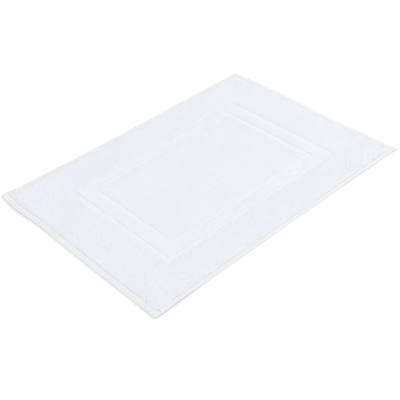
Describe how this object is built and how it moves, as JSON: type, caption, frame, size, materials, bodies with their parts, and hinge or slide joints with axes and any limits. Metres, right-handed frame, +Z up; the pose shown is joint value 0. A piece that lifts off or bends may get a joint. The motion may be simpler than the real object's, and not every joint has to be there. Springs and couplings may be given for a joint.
{
  "type": "bath mat",
  "caption": "Rectangular hemmed terry bath mat with two flat-woven rectangular frame lines between areas of cotton loop pile.",
  "frame": {"origin": "middle of the mat's footprint, on the floor", "axes": "+X along the 700 mm side, +Y across the mat, +Z up from the floor through the pile"},
  "size_m": [0.7, 0.5, 0.0062],
  "materials": {
    "terry_pile": "white cotton terry loops, matt",
    "woven_cloth": "white cotton ground weave and flat-woven frame lines, matt",
    "hem_cloth": "white plain-woven cotton, folded and pressed",
    "sewing_thread": "white spun polyester sewing thread, slight sheen"
  },
  "bodies": {
    "root": {"ground_cloth": "woven_cloth", "face_pile_border": "terry_pile", "face_pile_band": "terry_pile", "face_pile_centre": "terry_pile", "reverse_pile_border": "terry_pile", "reverse_pile_band": "terry_pile", "reverse_pile_centre": "terry_pile", "frame_line_outer": "woven_cloth", "frame_line_inner": "woven_cloth", "end_hem_left": "hem_cloth", "end_hem_right": "hem_cloth", "side_hem_front": "hem_cloth", "side_hem_back": "hem_cloth", "needle_thread_left": "sewing_thread", "needle_thread_right": "sewing_thread", "needle_thread_front": "sewing_thread", "needle_thread_back": "sewing_thread", "bobbin_thread_left": "sewing_thread", "bobbin_thread_right": "sewing_thread", "bobbin_thread_front": "sewing_thread", "bobbin_thread_back": "sewing_thread", "back_tacks": "sewing_thread"}
  },
  "joints": []
}
